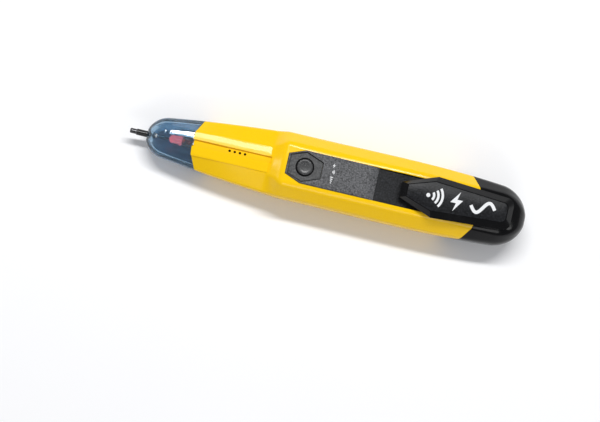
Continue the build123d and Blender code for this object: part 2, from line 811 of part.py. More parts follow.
def cap_contact():
    """Plate in the cap that joins the two cells."""
    half = cell_y + contact_width / 2
    across = (bridge_x, bridge_x + contact_thickness)
    bridge = block(across, (-half, half), (cell_z - contact_height / 2, cell_z + contact_height / 2))
    notch_half = rail_width / 2 + fit_gap
    return bridge - block(across, (-notch_half, notch_half), (0, wall + joint_gap + rail_height + fit_gap))


def cap_spring():
    """Coil in the cap that presses on the flat end of the other cell."""
    start = bridge_x - spring_length
    return spring((start, -cell_y, cell_z), spring_length, spring_diameter, spring_wire, spring_turns)


# ================================================================ tail cap and clip
def tail_cap():
    """Black end cap that slides off for the cells: shell, contact wall, tongue, rail and clip socket."""
    behind = between(cap_joint, None)
    cap = (form(0) - form(wall)) & behind
    plate_x = bridge_x + contact_thickness
    contact_wall = block((plate_x, plate_x + wall), (-far, far), (-far, far)) & form(wall - 0.4) & behind
    cap += contact_wall
    high = bed_z - fit_gap
    low = high - tongue_thickness
    half = tongue_width / 2
    web_x = cap_joint(low)
    cap += block((web_x, web_x + 3), (-half, half), (low, deck_z - wall + 0.4)) & behind
    cap += block((cap_x - tongue_length, web_x + 3), (-half, half), (low, high))
    rail_low = wall + joint_gap
    rail_half = rail_width / 2
    rail_start = cap_joint(0) - rail_length
    cap += block((rail_start, plate_x + 0.5), (-rail_half, rail_half), (rail_low, rail_low + rail_height))
    root_x = cap_joint(wall) + 1
    cap += block((root_x, plate_x + 0.5), (-rail_half, rail_half), (wall - 0.4, rail_low + 0.5))
    for side in (-1, 1):
        start, end = (carrier_x, side * cell_y, cell_z), (bridge_x, side * cell_y, cell_z)
        cap -= rod(cell_diameter / 2 + cap_clearance, start, end)
    half_length = clip_foot_length / 2 + clip_heel_gap
    half_width = clip_foot_width / 2 + clip_heel_gap
    return cap - block(
        (clip_pivot_x - half_length, clip_pivot_x + half_length),
        (-half_width, half_width),
        (deck_z - wall - 4, deck_z + 5),
    )


def clip_outline(front, front_width, widest, width, rear, rear_width, radius, z):
    """A clip-shaped outline at a height: its three X places from the clip's tip, and its widths there."""
    loop = [
        (front, front_width / 2),
        (widest, width / 2),
        (rear, rear_width / 2),
        (rear, -rear_width / 2),
        (widest, -width / 2),
        (front, -front_width / 2),
    ]
    corners = [Vector(clip_tip_x + px, py, z) for px, py in loop]
    outline = Face(Wire.make_polygon(corners, close=True))
    return fillet(outline.vertices().group_by(Axis.X)[-1], radius).face()


def clip_base(z, grow=0.0):
    """The clip's outline where it is widest, under the bevel."""
    return clip_outline(
        -grow,
        clip_tip_width + 2 * grow,
        clip_widest,
        clip_width + 2 * grow,
        clip_rear_x - clip_tip_x + grow,
        clip_rear_width + 2 * grow,
        clip_rear_radius + grow,
        z,
    )


def clip_face(z, inset=0.0):
    """The outline of the clip's top face, inside the bevel."""
    return clip_outline(
        clip_tip_bevel + inset,
        clip_face_tip_width - 1.2 * inset,
        clip_widest - 1.1,
        clip_width - 2 * clip_bevel - 2 * inset,
        clip_rear_x - clip_tip_x - clip_bevel - 0.2 - inset,
        clip_rear_width - 2 * clip_bevel - 2 * inset,
        clip_face_radius - inset,
        z,
    )


def pocket_clip():
    """Bevelled clip: an arm with a bump under its tip, a heel over the cap and a hooked foot in it."""
    top = Solid.make_loft(
        [clip_base(clip_base_z + clip_rim).outer_wire(), clip_face(clip_top_z).outer_wire()], True
    )
    top += extrude(clip_base(clip_base_z), amount=clip_rim, dir=(0, 0, 1))
    field = extrude(clip_face(clip_top_z - clip_field_depth, clip_field_rim), amount=1, dir=(0, 0, 1))
    skirt = extrude(clip_base(deck_z - 9), amount=clip_base_z - deck_z + 9, dir=(0, 0, 1))
    bump_z = rear_z + clip_tip_gap
    bump_x = clip_tip_x + clip_tip_bump
    bump = [
        (clip_tip_x, clip_base_z),
        (clip_tip_x, bump_z + 0.6),
        (clip_tip_x + 0.8, bump_z),
        (clip_tip_x + 2.2, bump_z),
        (bump_x, clip_base_z),
    ]
    heel_x = clip_rear_x - clip_heel_length
    heel = [
        (heel_x, clip_base_z),
        (heel_x + 2, deck_z - 9),
        (clip_rear_x, deck_z - 9),
        (clip_rear_x, clip_base_z),
    ]
    under = (skirt & prism(bump, (-far, far))) + ((skirt & prism(heel, (-far, far))) - form(-clip_heel_gap))
    under &= block((-far, far), (-far, far), (deck_z - 5, far))
    half_length, half_width = clip_foot_length / 2, clip_foot_width / 2
    foot_low = deck_z - wall - clip_foot_depth
    foot_x = (clip_pivot_x - half_length, clip_pivot_x + half_length)
    foot = block(foot_x, (-half_width, half_width), (foot_low, clip_base_z))
    hook_half = half_width + clip_hook
    hook = block(foot_x, (-hook_half, hook_half), (foot_low, foot_low + 1.0))
    return top - field + under + foot + hook


# ================================================================ all parts
def parts():
    """Every part of the tester by its name."""
    return {
        "tip_lens": tip_lens(),
        "probe_pin": probe_pin(),
        "probe_sleeve": probe_sleeve(),
        "indicator_led": indicator_led(),
        "led_leads": led_leads(),
        "antenna_coil": antenna_coil(),
        "sensor_mount": sensor_mount(),
        "probe_contact": probe_contact(),
        "circuit_board": circuit_board(),
        "board_components": board_components(),
        "tact_switch": tact_switch(),
        "switch_plunger": switch_plunger(),
        "piezo_buzzer": piezo_buzzer(),
        "buzzer_gasket": buzzer_gasket(),
        "upper_housing": upper_housing(),
        "lower_housing": lower_housing(),
        "button_panel": button_panel(),
        "button_bezel": button_bezel(),
        "power_button": power_button(),
        "rear_panel": rear_panel(),
        "contact_carrier": contact_carrier(),
        "front_contact_positive": front_contact(-1),
        "front_contact_negative": front_contact(1),
        "front_spring": front_spring(),
        "cell_left": cell(1, False),
        "cell_right": cell(-1, True),
        "cap_contact": cap_contact(),
        "cap_spring": cap_spring(),
        "tail_cap": tail_cap(),
        "pocket_clip": pocket_clip(),
        "case_screws": case_screws(),
        "back_label": back_label(),
    }


def main():
    os.makedirs("parts", exist_ok=True)
    for name, shape in parts().items():
        solids = shape if isinstance(shape, list) else shape.solids()
        print(name, len(solids), "solids", round(sum(solid.volume for solid in solids), 1), "mm3")
        whole = solids[0] if len(solids) == 1 else Compound(solids)
        export_step(whole, f"parts/{name}.step")


if __name__ == "__main__":
    main()
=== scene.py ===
import math

import bmesh
import bpy
from mathutils import Matrix, Vector


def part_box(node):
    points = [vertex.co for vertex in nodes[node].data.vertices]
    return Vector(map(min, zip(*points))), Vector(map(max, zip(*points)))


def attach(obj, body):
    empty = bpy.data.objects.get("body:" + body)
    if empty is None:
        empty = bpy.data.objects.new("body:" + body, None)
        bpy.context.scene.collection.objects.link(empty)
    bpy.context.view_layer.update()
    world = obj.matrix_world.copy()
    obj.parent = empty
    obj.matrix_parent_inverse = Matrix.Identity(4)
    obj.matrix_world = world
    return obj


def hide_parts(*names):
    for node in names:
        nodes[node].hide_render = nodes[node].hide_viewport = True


# %% [markdown]
# A non-contact voltage tester is a pen-shaped tool: a clear end with a light inside, a long case with
# one push button, a clip for a pocket and a cap over its cells. The engineering model gives the exact
# outside of every part. This lesson dresses those parts in believable materials and adds the small
# things that a maker prints, moulds or solders. All lengths are in metres, so millimetres are
# multiplied by MM.

# %% Load the frame
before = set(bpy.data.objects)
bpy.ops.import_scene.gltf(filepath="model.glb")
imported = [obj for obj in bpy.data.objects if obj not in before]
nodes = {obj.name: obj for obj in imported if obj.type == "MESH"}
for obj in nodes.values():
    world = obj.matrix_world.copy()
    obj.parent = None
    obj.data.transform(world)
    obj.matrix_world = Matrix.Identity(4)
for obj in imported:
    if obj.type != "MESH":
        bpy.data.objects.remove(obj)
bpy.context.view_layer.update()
MM = 0.001

# %% [markdown]
# Both the camera and the lights are made first, because every finish is judged by what they show.
# The tester lies on its back and is seen almost straight from above, turned a little clockwise in the
# view. The camera's three directions are worked out from that tilt and turn, and its place from the
# distance and from how far the tester is off the middle of the view.

# %% Camera
TILT = math.radians(5.5)  # off the vertical, towards the near side
LEAN = math.radians(-4.8)  # off the vertical, towards the probe
TURN = math.radians(13.2)  # how far the tester is turned in the view
DISTANCE = 0.655
OFF_MIDDLE = (0.01025, 0.01429)  # how far right and up of the view's middle the tester is

towards_camera = Vector((math.sin(LEAN), -math.sin(TILT) * math.cos(LEAN), math.cos(TILT) * math.cos(LEAN)))
level_right = Vector((1, 0, 0)) - towards_camera * towards_camera.x
level_right.normalize()
level_up = towards_camera.cross(level_right)
view_right = level_right * math.cos(TURN) + level_up * math.sin(TURN)
view_up = level_up * math.cos(TURN) - level_right * math.sin(TURN)
middle = Vector((-0.0012, 0, 0.0125))

camera_data = bpy.data.cameras.new("camera")
camera_data.lens = 100
camera_data.sensor_width = 36
camera_data.clip_start = 0.01
camera_data.clip_end = 10
camera = bpy.data.objects.new("camera", camera_data)
bpy.context.scene.collection.objects.link(camera)
place = middle + towards_camera * DISTANCE - view_right * OFF_MIDDLE[0] - view_up * OFF_MIDDLE[1]
camera.matrix_world = Matrix.Translation(place) @ Matrix(
    (view_right, view_up, towards_camera)
).transposed().to_4x4()
bpy.context.scene.camera = camera
print("camera at", [round(v, 3) for v in place])

# %% [markdown]
# Product pictures of glossy plastic are lit with large soft boxes, because what a glossy surface
# shows is a picture of the lamp. One long lamp behind the tester gives the bright bands on the nose,
# and a weaker one in front keeps the near side from going dark. Two small ones at the ends put glints
# on the clear dome and on the rear of the panel. A pale sky fills the rest.


# %% Lights and floor
def soft_box(name, place, size, power, colour=(1, 1, 1)):
    """A rectangular lamp that faces the tester."""
    data = bpy.data.lights.new(name, "AREA")
    data.shape = "RECTANGLE"
    data.size, data.size_y = size
    data.energy = power
    data.color = colour
    lamp = bpy.data.objects.new(name, data)
    lamp.location = place
    lamp.rotation_euler = (middle - Vector(place)).to_track_quat("-Z", "Y").to_euler()
    bpy.context.scene.collection.objects.link(lamp)
    return lamp


soft_box("far_box", (-0.05, 0.44, 0.88), (0.8, 0.08), 7.8)
soft_box("near_box", (0.2, -0.78, 0.6), (0.6, 0.4), 1.9)
soft_box("probe_box", (-0.78, 0.06, 0.42), (0.12, 0.12), 0.35)
soft_box("tail_box", (0.8, -0.15, 0.5), (0.25, 0.25), 0.8)

world = bpy.data.worlds.new("pale_sky")
world.use_nodes = True
sky = world.node_tree.nodes["Background"]
sky.inputs["Color"].default_value = (0.93, 0.95, 1.0, 1)
sky.inputs["Strength"].default_value = 0.3
bpy.context.scene.world = world
bpy.context.scene.view_settings.view_transform = "Standard"

floor_mesh = bmesh.new()
bmesh.ops.create_grid(floor_mesh, x_segments=1, y_segments=1, size=4)
floor_data = bpy.data.meshes.new("floor")
floor_mesh.to_mesh(floor_data)
floor_mesh.free()
floor = bpy.data.objects.new("floor", floor_data)
floor.location.z = -0.02 * MM
bpy.context.scene.collection.objects.link(floor)

# %% [markdown]
# Every finish below is a small network of nodes. The effects that several finishes share are node
# groups with named inputs: a moulded grain and fine scuffs. A group is built once, and each
# material places it with its own values. They read Object coordinates, which here are the same for all
# parts, so a pattern has its real size in metres and never slides.


# %% Node helpers
def add_node(tree, kind, inputs=None, **settings):
    """A new node with its settings and its inputs, which are values or other nodes' sockets."""
    node = tree.nodes.new(kind)
    for name, value in settings.items():
        setattr(node, name, value)
    for name, value in (inputs or {}).items():
        if isinstance(value, bpy.types.NodeSocket):
            tree.links.new(value, node.inputs[name])
        else:
            node.inputs[name].default_value = value
    return node


def new_group(name, inputs, outputs):
    """An empty node group; inputs are (name, default) and outputs (name, socket type)."""
    group = bpy.data.node_groups.new(name, "ShaderNodeTree")
    for socket_name, default in inputs:
        colour = isinstance(default, tuple)
        kind = "NodeSocketColor" if colour else "NodeSocketFloat"
        socket = group.interface.new_socket(socket_name, in_out="INPUT", socket_type=kind)
        socket.default_value = default
    for socket_name, kind in outputs:
        group.interface.new_socket(socket_name, in_out="OUTPUT", socket_type=kind)
    entry = group.nodes.new("NodeGroupInput")
    end = group.nodes.new("NodeGroupOutput")
    return group, entry, end


def noise(tree, vector, scale, detail=4.0, roughness=0.55):
    """A noise texture's value."""
    inputs = {"Vector": vector, "Scale": scale, "Detail": detail, "Roughness": roughness}
    return add_node(tree, "ShaderNodeTexNoise", inputs).outputs["Fac"]


def ramp(tree, value, low, high, to_low=0.0, to_high=1.0):
    """The value spread from low..high to to_low..to_high, and clamped there."""
    inputs = {"Value": value, "From Min": low, "From Max": high, "To Min": to_low, "To Max": to_high}
    return add_node(tree, "ShaderNodeMapRange", inputs, clamp=True).outputs["Result"]


def arithmetic(tree, operation, a, b):
    """One arithmetic step on two values."""
    node = add_node(tree, "ShaderNodeMath", operation=operation)
    for socket, value in zip(node.inputs, (a, b)):
        if isinstance(value, bpy.types.NodeSocket):
            tree.links.new(value, socket)
        else:
            socket.default_value = value
    return node.outputs["Value"]


def mix_colour(tree, share, a, b):
    """Two colours mixed by a share, which is a socket."""
    node = add_node(tree, "ShaderNodeMix", data_type="RGBA")
    tree.links.new(share, node.inputs["Factor"])
    for socket, value in ((node.inputs[6], a), (node.inputs[7], b)):
        if isinstance(value, bpy.types.NodeSocket):
            tree.links.new(value, socket)
        else:
            socket.default_value = (*value[:3], 1)
    return node.outputs[2]


# %% [markdown]
# Moulds for plastic are spark-eroded or sanded, and the part copies their grain. The grain is two noises:
# fine cells for the peaks and a broader one that makes them uneven. Its height goes to a Bump node. Its mask
# paints shade into the colour: the dips take a darker colour, a painted shade in the grain's hollows, and the
# peaks take the finish's own colour, which on the panel is light enough to be a painted sparkle.


# %% Moulded grain
def build_grain_group():
    group, entry, end = new_group(
        "moulded_grain",
        [("Grain Size", 0.0003), ("Unevenness", 0.4)],
        [("Height", "NodeSocketFloat"), ("Mask", "NodeSocketFloat")],
    )
    where = add_node(group, "ShaderNodeTexCoord").outputs["Object"]
    scale = arithmetic(group, "DIVIDE", 1.0, entry.outputs["Grain Size"])
    fine = noise(group, where, scale, detail=3.0)
    cells = add_node(group, "ShaderNodeTexVoronoi", {"Vector": where, "Scale": scale}, feature="SMOOTH_F1")
    broad = noise(group, where, arithmetic(group, "MULTIPLY", scale, 0.12), detail=2.0)
    peaks = arithmetic(group, "MULTIPLY", fine, arithmetic(group, "SUBTRACT", 1.2, cells.outputs["Distance"]))
    uneven = arithmetic(group, "MULTIPLY", broad, entry.outputs["Unevenness"])
    group.links.new(arithmetic(group, "ADD", peaks, uneven), end.inputs["Height"])
    # The mask is 1 on the peaks and 0 in the dips; the finishes use it to paint shade into the dips.
    group.links.new(ramp(group, peaks, 0.2, 0.65), end.inputs["Mask"])
    return group


grain_group = build_grain_group()

# %% [markdown]
# A tool that lives in a pocket gets hairline scratches. Each layer is a noise that is stretched along
# one direction and cut down to thin lines by a narrow range. Two layers at different angles are enough,
# and a broad noise lets them come and go.


# %% Fine scuffs
def scratch_layer(tree, where, angle, density):
    turned = add_node(
        tree,
        "ShaderNodeMapping",
        {"Vector": where, "Rotation": (0.3, 0.2, angle), "Scale": (60.0, density, density)},
    ).outputs["Vector"]
    lines = noise(tree, turned, 1.0, detail=2.0)
    return ramp(tree, arithmetic(tree, "ABSOLUTE", arithmetic(tree, "SUBTRACT", lines, 0.5), 0.0), 0.012, 0.0)


def build_scuff_group():
    group, entry, end = new_group("fine_scuffs", [("Amount", 0.5)], [("Mask", "NodeSocketFloat")])
    where = add_node(group, "ShaderNodeTexCoord").outputs["Object"]
    first = scratch_layer(group, where, 0.5, 2600.0)
    second = scratch_layer(group, where, -0.9, 2200.0)
    patches = ramp(group, noise(group, where, 90.0, detail=2.0), 0.48, 0.7)
    lines = arithmetic(group, "MULTIPLY", arithmetic(group, "MAXIMUM", first, second), patches)
    group.links.new(arithmetic(group, "MULTIPLY", lines, entry.outputs["Amount"]), end.inputs["Mask"])
    return group


scuff_group = build_scuff_group()

# %% [markdown]
# Most parts of the tester are moulded plastic, and these differ only in colour, gloss, grain and how
# much they are scuffed. One function makes such a finish, with the grain and the scuffs placed in it,
# and the constants go straight onto the shader's own sockets.


# %% Plastic finishes
def new_material(name):
    """A material with an empty node tree apart from its shader."""
    material = bpy.data.materials.new(name)
    material.use_nodes = True
    return material, material.node_tree, material.node_tree.nodes["Principled BSDF"]


def set_inputs(shader, values):
    for name, value in values.items():
        shader.inputs[name].default_value = value


def moulded_plastic(name, colour, hollow_shade, roughness, grain_size, grain_depth, scuffs=0.4, shine=0.5):
    """Moulded plastic: colour on the peaks and a darker colour in the dips, a painted shade, with grain and
    scuffs.
    """
    material, tree, shader = new_material(name)
    grain = add_node(tree, "ShaderNodeGroup", node_tree=grain_group)
    grain.inputs["Grain Size"].default_value = grain_size
    scuff = add_node(tree, "ShaderNodeGroup", node_tree=scuff_group)
    scuff.inputs["Amount"].default_value = scuffs
    where = add_node(tree, "ShaderNodeTexCoord").outputs["Object"]
    cloud = ramp(tree, noise(tree, where, 45.0, detail=3.0), 0.3, 0.7)
    # The dips take the darker colour: a painted shade in the grain's hollows.
    base = mix_colour(tree, grain.outputs["Mask"], hollow_shade, colour)
    tint = tuple(min(1.0, 0.93 * c) for c in colour)
    base = mix_colour(tree, arithmetic(tree, "MULTIPLY", cloud, 0.35), base, tint)
    worn = tuple(0.55 * c + 0.2 for c in colour)
    base = mix_colour(tree, arithmetic(tree, "MULTIPLY", scuff.outputs["Mask"], 0.35), base, worn)
    tree.links.new(base, shader.inputs["Base Color"])
    rough = ramp(tree, cloud, 0.0, 1.0, roughness * 0.9, roughness * 1.15)
    rough = arithmetic(tree, "ADD", rough, arithmetic(tree, "MULTIPLY", scuff.outputs["Mask"], 0.25))
    tree.links.new(rough, shader.inputs["Roughness"])
    bump = add_node(
        tree,
        "ShaderNodeBump",
        {"Height": grain.outputs["Height"], "Distance": grain_depth, "Strength": 1.0},
    )
    tree.links.new(bump.outputs["Normal"], shader.inputs["Normal"])
    set_inputs(shader, {"IOR": 1.53, "Specular IOR Level": shine})
    return material


# The second colour of each plastic is the painted shade for the dips of its grain.
yellow = moulded_plastic(
    "yellow_plastic", (1.0, 0.63, 0.0), (0.95, 0.56, 0.0), 0.2, 0.00035, 0.000004, 0.35, 0.3
)
gloss_black = moulded_plastic(
    "gloss_black_plastic", (0.002, 0.002, 0.0024), (0.001, 0.001, 0.0012), 0.15, 0.0005, 0.000003, 0.3, 0.2
)
panel_grey = moulded_plastic(
    "panel_plastic", (0.16, 0.162, 0.17), (0.001, 0.001, 0.0015), 0.38, 0.00058, 0.00007, 0.1, 0.35
)
bezel_grey = moulded_plastic(
    "bezel_plastic", (0.12, 0.122, 0.122), (0.03, 0.03, 0.031), 0.36, 0.0006, 0.00003, 0.1, 0.3
)
button_grey = moulded_plastic(
    "button_plastic", (0.085, 0.086, 0.086), (0.025, 0.025, 0.026), 0.24, 0.0005, 0.000008, 0.3, 0.5
)
clip_black = moulded_plastic(
    "clip_plastic", (0.002, 0.002, 0.0024), (0.001, 0.001, 0.0012), 0.17, 0.0004, 0.000004, 0.3, 0.2
)
field_black = moulded_plastic(
    "clip_field_plastic", (0.02, 0.0215, 0.025), (0.0, 0.0, 0.0), 0.4, 0.00065, 0.00007, 0.1, 0.2
)
inner_plastic = moulded_plastic(
    "inner_plastic", (0.34, 0.34, 0.4), (0.22, 0.22, 0.27), 0.45, 0.0004, 0.00001, 0.1
)
print("yellow plastic has", len(yellow.node_tree.nodes), "nodes")

# %% [markdown]
# The end of the tester is a thick, clear dome with a smoky blue tint. Clear plastic is nearly glass to
# the shader: an index of 1.58 for polycarbonate, and a tint that light meets each time it goes through
# a wall. It isn't fully clear, because the pigment in it also scatters a little light back. A faint
# unevenness in the surface keeps it from looking like polished crystal.


# %% Clear finishes
def clear_plastic(name, tint, deep_tint, index, roughness, scuffs, clearness):
    material, tree, shader = new_material(name)
    where = add_node(tree, "ShaderNodeTexCoord").outputs["Object"]
    cloud = ramp(tree, noise(tree, where, 120.0, detail=2.0), 0.35, 0.65)
    tree.links.new(mix_colour(tree, cloud, tint, deep_tint), shader.inputs["Base Color"])
    scuff = add_node(tree, "ShaderNodeGroup", node_tree=scuff_group)
    scuff.inputs["Amount"].default_value = scuffs
    rough = ramp(tree, scuff.outputs["Mask"], 0.0, 1.0, roughness, roughness + 0.2)
    tree.links.new(rough, shader.inputs["Roughness"])
    ripple = noise(tree, where, 400.0, detail=1.0)
    bump = add_node(tree, "ShaderNodeBump", {"Height": ripple, "Distance": 0.000003})
    tree.links.new(bump.outputs["Normal"], shader.inputs["Normal"])
    set_inputs(shader, {"Transmission Weight": clearness, "IOR": index})
    return material, shader


smoky_lens, _ = clear_plastic(
    "smoky_lens", (0.33, 0.5, 0.66), (0.28, 0.45, 0.6), 1.58, 0.03, 0.3, 0.93
)
glowing_red_epoxy, red_glow_shader = clear_plastic(
    "glowing_red_epoxy", (1.0, 0.3, 0.28), (0.95, 0.22, 0.2), 1.5, 0.05, 0.0, 0.75
)
# The LED is not switched on; this red emission is a painted glow that makes its body look brighter through
# the tinted lens.
set_inputs(red_glow_shader, {"Emission Color": (1.0, 0.2, 0.2, 1), "Emission Strength": 0.9})


# %% [markdown]
# The pin, the contacts and the wires are plated or bare metal. Metal shows little colour of its own
# and a lot of its surroundings, so its finish is mostly in how the roughness changes: fine lines along
# the part from drawing or turning, and duller patches where it has been handled.


# %% Metal finishes
def metal(name, colour, tarnish, roughness, line_scale):
    material, tree, shader = new_material(name)
    where = add_node(tree, "ShaderNodeTexCoord").outputs["Object"]
    drawn = add_node(tree, "ShaderNodeMapping", {"Vector": where, "Scale": line_scale}).outputs["Vector"]
    lines = noise(tree, drawn, 1.0, detail=3.0)
    patches = ramp(tree, noise(tree, where, 350.0), 0.4, 0.75)
    tree.links.new(
        mix_colour(tree, arithmetic(tree, "MULTIPLY", patches, 0.6), colour, tarnish),
        shader.inputs["Base Color"],
    )
    rough = ramp(tree, lines, 0.3, 0.7, roughness * 0.7, roughness * 1.4)
    tree.links.new(rough, shader.inputs["Roughness"])
    bump = add_node(tree, "ShaderNodeBump", {"Height": lines, "Distance": 0.000003})
    tree.links.new(bump.outputs["Normal"], shader.inputs["Normal"])
    set_inputs(shader, {"Metallic": 1.0})
    return material


plated_steel = metal("plated_steel", (0.56, 0.56, 0.58), (0.36, 0.35, 0.34), 0.22, (300, 9000, 9000))
# The pin's steel is given a near-black colour: a painted shade standing in for the dark surroundings that the
# polished pin reflects.
dark_steel = metal("steel_painted_dark", (0.09, 0.09, 0.095), (0.04, 0.04, 0.042), 0.25, (300, 9000, 9000))
zinc_screw = metal("zinc_screw", (0.45, 0.45, 0.46), (0.2, 0.2, 0.2), 0.35, (2500, 2500, 300))
tinned_wire = metal("tinned_wire", (0.7, 0.7, 0.7), (0.5, 0.48, 0.45), 0.3, (300, 9000, 9000))
copper = metal("enamelled_copper", (0.72, 0.33, 0.16), (0.4, 0.15, 0.06), 0.25, (2000, 2000, 2000))
brass = metal("brass", (0.8, 0.55, 0.22), (0.5, 0.32, 0.12), 0.3, (9000, 300, 9000))
print("each metal has", len(brass.node_tree.nodes), "nodes")

# %% [markdown]
# The black sleeve on the pin is smooth tubing. Inside the case are a green circuit board, foam, cells
# and a label. They are seen only when the cap is off or the case is open, yet each has its own finish:
# the board has a net of tracks under its solder mask, and a cell has a printed jacket.


# %% Finishes inside the case
def banded_material(name, low_colour, high_colour, direction, edge, roughness, metallic=0.0):
    """Two colours with a sharp change where the place along direction passes edge."""
    material, tree, shader = new_material(name)
    where = add_node(tree, "ShaderNodeTexCoord").outputs["Object"]
    along = add_node(
        tree, "ShaderNodeVectorMath", {0: where, 1: direction}, operation="DOT_PRODUCT"
    ).outputs["Value"]
    share = ramp(tree, along, edge - 0.00005, edge + 0.00005)
    speckle = ramp(tree, noise(tree, where, 900.0), 0.3, 0.7, 0.0, 0.15)
    base = mix_colour(tree, share, low_colour, high_colour)
    base = mix_colour(tree, speckle, base, tuple(0.6 * c for c in high_colour))
    tree.links.new(base, shader.inputs["Base Color"])
    tree.links.new(ramp(tree, speckle, 0, 0.15, roughness, roughness * 1.3), shader.inputs["Roughness"])
    set_inputs(shader, {"Metallic": metallic})
    return material


def board_laminate():
    """Green solder mask over a net of tracks, a little raised."""
    material, tree, shader = new_material("board_laminate")
    where = add_node(tree, "ShaderNodeTexCoord").outputs["Object"]
    net = add_node(tree, "ShaderNodeTexBrick", {"Vector": where, "Scale": 260.0, "Mortar Size": 0.06})
    tracks = net.outputs["Fac"]
    base = mix_colour(tree, tracks, (0.008, 0.09, 0.03), (0.02, 0.2, 0.06))
    tree.links.new(base, shader.inputs["Base Color"])
    bump = add_node(tree, "ShaderNodeBump", {"Height": tracks, "Distance": 0.00003})
    tree.links.new(bump.outputs["Normal"], shader.inputs["Normal"])
    rough = ramp(tree, noise(tree, where, 300.0), 0.3, 0.7, 0.25, 0.4)
    tree.links.new(rough, shader.inputs["Roughness"])
    return material


sleeve_black = moulded_plastic(
    "sleeve_plastic", (0.012, 0.012, 0.013), (0.008, 0.008, 0.009), 0.22, 0.0006, 0.000002, 0.6, 0.4
)
component_black = moulded_plastic(
    "component_plastic", (0.02, 0.02, 0.022), (0.01, 0.01, 0.011), 0.5, 0.0002, 0.00001, 0.0
)
foam = moulded_plastic("foam", (0.03, 0.03, 0.03), (0.004, 0.004, 0.004), 0.9, 0.0004, 0.0001, 0.0)
label_film = moulded_plastic(
    "label_film", (0.75, 0.75, 0.73), (0.68, 0.68, 0.66), 0.45, 0.0008, 0.000003, 0.2
)
white_print = moulded_plastic(
    "white_print", (0.85, 0.86, 0.87), (0.72, 0.73, 0.74), 0.5, 0.0003, 0.00001, 0.2
)
board_green = board_laminate()
cell_low, cell_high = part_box("cell_left")
cell_end = cell_low.x + 0.78 * (cell_high.x - cell_low.x)
cell_jacket = banded_material(
    "cell_jacket", (0.02, 0.022, 0.028), (0.55, 0.3, 0.12), (1, 0, 0), cell_end, 0.28, 0.6
)

# %% [markdown]
# The parts from the engineering model keep their exact shapes. Their flat-shaded triangles already
# carry smooth normals, so each needs only its finish.

# %% Dress the parts
FINISHES = {
    "upper_housing": yellow,
    "lower_housing": yellow,
    "tip_lens": smoky_lens,
    "probe_pin": dark_steel,
    "probe_sleeve": sleeve_black,
    "indicator_led": glowing_red_epoxy,
    "led_leads": tinned_wire,
    "antenna_coil": copper,
    "sensor_mount": inner_plastic,
    "probe_contact": brass,
    "circuit_board": board_green,
    "board_components": component_black,
    "tact_switch": component_black,
    "switch_plunger": inner_plastic,
    "piezo_buzzer": component_black,
    "buzzer_gasket": foam,
    "button_panel": panel_grey,
    "button_bezel": bezel_grey,
    "power_button": button_grey,
    "rear_panel": field_black,
    "contact_carrier": inner_plastic,
    "front_contact_positive": plated_steel,
    "front_contact_negative": plated_steel,
    "front_spring": plated_steel,
    "cell_left": cell_jacket,
    "cell_right": cell_jacket,
    "cap_contact": plated_steel,
    "cap_spring": plated_steel,
    "tail_cap": gloss_black,
    "pocket_clip": clip_black,
    "case_screws": zinc_screw,
    "back_label": label_film,
}


def dress(piece, material):
    piece.data.materials.clear()
    piece.data.materials.append(material)


for node_name, piece in nodes.items():
    dress(piece, FINISHES[node_name])
print("parts dressed:", len(nodes))

# %% [markdown]
# The rest are pieces that the engineering model leaves plain. They are made with bmesh, Blender's
# mesh editor for scripts: a few starting points, then the same operators that the editor has, such as
# spin, extrude, inset and bevel. A small helper turns the finished mesh into an object with smooth
# shading, rides it on its body of the model and names the finish that it takes.


# %% Piece helper
def make_piece(name, mesh, body, material, smooth_below=40):
    """An object from a bmesh; edges that turn less than smooth_below degrees are smooth."""
    bmesh.ops.remove_doubles(mesh, verts=mesh.verts, dist=0.0005 * MM)
    bmesh.ops.recalc_face_normals(mesh, faces=mesh.faces)
    data = bpy.data.meshes.new(name)
    mesh.to_mesh(data)
    mesh.free()
    data.shade_smooth()
    data.set_sharp_from_angle(angle=math.radians(smooth_below))
    piece = bpy.data.objects.new(name, data)
    bpy.context.scene.collection.objects.link(piece)
    dress(piece, material)
    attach(piece, body)
    print(name, len(data.polygons), "faces", [round(v / MM, 2) for v in piece.dimensions], "mm")
    return piece


def outline_face(mesh, points, height):
    """One flat face through (x, y) points at a height."""
    return mesh.faces.new([mesh.verts.new((x, y, height)) for x, y in points])


def raise_face(mesh, face, thickness):
    """Pulls a flat face up into a slab, keeping its first face as the underside."""
    made = bmesh.ops.extrude_face_region(mesh, geom=[face])["geom"]
    corners = [item for item in made if isinstance(item, bmesh.types.BMVert)]
    bmesh.ops.translate(mesh, verts=corners, vec=(0, 0, thickness))
    return next(item for item in made if isinstance(item, bmesh.types.BMFace))


def bevel_rim(mesh, face, width, segments=2):
    """Rounds the edges round a face."""
    bmesh.ops.bevel(
        mesh,
        geom=list(face.edges),
        affect="EDGES",
        offset=width,
        segments=segments,
        profile=0.5,
        material=-1,
    )


# %% [markdown]
# The light is a round LED. Its clear red body is a shape of revolution, so half of its outline is
# drawn as points and spun about the axis. Inside are the two metal posts of its lead frame, one with
# the cup that holds the chip. They're why a real LED sparkles when it's off.

# %% Indicator light
led_low, led_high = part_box("indicator_led")
led_axis_z = (led_low.z + led_high.z) / 2
LED_RADIUS = 1.5 * MM
LED_FLANGE = 0.9 * MM


def led_outline():
    """Half of the LED's outline as (x, radius), from the tip of its dome to its back."""
    points = []
    for step in range(9):
        angle = math.radians(90 * step / 8)
        points.append((led_low.x + LED_RADIUS * (1 - math.cos(angle)), LED_RADIUS * math.sin(angle)))
    flange_radius = (led_high.z - led_low.z) / 2
    points += [
        (led_high.x - LED_FLANGE, LED_RADIUS),
        (led_high.x - LED_FLANGE, flange_radius),
        (led_high.x, flange_radius),
        (led_high.x, 0),
    ]
    return points


